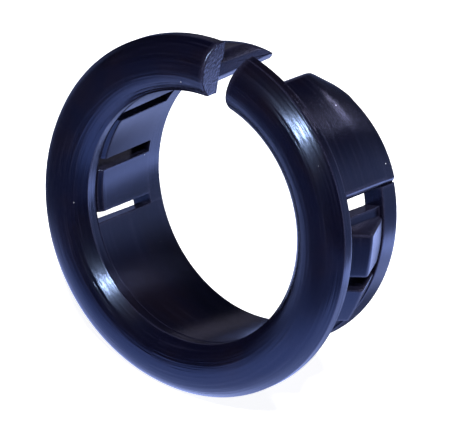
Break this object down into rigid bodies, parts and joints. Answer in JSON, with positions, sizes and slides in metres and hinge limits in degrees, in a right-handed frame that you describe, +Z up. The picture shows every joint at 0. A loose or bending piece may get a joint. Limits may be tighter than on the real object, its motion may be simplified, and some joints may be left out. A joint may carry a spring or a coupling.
{
  "type": "fence insulator",
  "caption": "Round snap-in bushing with a split rolled flange, a slotted barrel and sprung wedge fingers that hold it in a post hole; a fence wire runs through the bore.",
  "frame": {"origin": "on the bore axis, in the plane of the flange's back face that seats on the post", "axes": "+Y along the bore from the flange to the rear ring, +Z up towards the split in the flange, +X to the right seen from the front of the flange"},
  "size_m": [0.0362, 0.0145, 0.0361],
  "materials": {
    "flange": "moulded black nylon, soft sheen with fine circular tool lines",
    "barrel": "moulded black nylon, satin",
    "fingers": "moulded black nylon, satin, rubbed on the tooth ramps"
  },
  "bodies": {
    "bushing": {"flange_bead": "flange", "side_wall_right": "barrel", "side_wall_left": "barrel", "lower_wall": "barrel", "rear_band_right": "barrel", "rear_band_left": "barrel"},
    "snap_upper_right": {"finger_upper_right": "fingers", "tooth_upper_right": "fingers"},
    "snap_lower_right": {"finger_lower_right": "fingers", "tooth_lower_right": "fingers"},
    "snap_upper_left": {"finger_upper_left": "fingers", "tooth_upper_left": "fingers"},
    "snap_lower_left": {"finger_lower_left": "fingers", "tooth_lower_left": "fingers"}
  },
  "joints": [
    {"name": "flex_upper_right", "type": "hinge", "parent": "bushing", "child": "snap_upper_right", "pos_m": [0.0129, 0.0089, 0.00216], "axis": [0.165, 0, -0.9863], "range_deg": [0, 17], "stiffness_Nm_per_rad": 0.4},
    {"name": "flex_lower_right", "type": "hinge", "parent": "bushing", "child": "snap_lower_right", "pos_m": [0.01264, 0.0089, -0.00351], "axis": [-0.2672, 0, -0.9636], "range_deg": [0, 17], "stiffness_Nm_per_rad": 0.4},
    {"name": "flex_upper_left", "type": "hinge", "parent": "bushing", "child": "snap_upper_left", "pos_m": [-0.0129, 0.0089, 0.00216], "axis": [0.165, 0, 0.9863], "range_deg": [0, 17], "stiffness_Nm_per_rad": 0.4},
    {"name": "flex_lower_left", "type": "hinge", "parent": "bushing", "child": "snap_lower_left", "pos_m": [-0.01264, 0.0089, -0.00351], "axis": [-0.2672, 0, 0.9636], "range_deg": [0, 17], "stiffness_Nm_per_rad": 0.4}
  ]
}
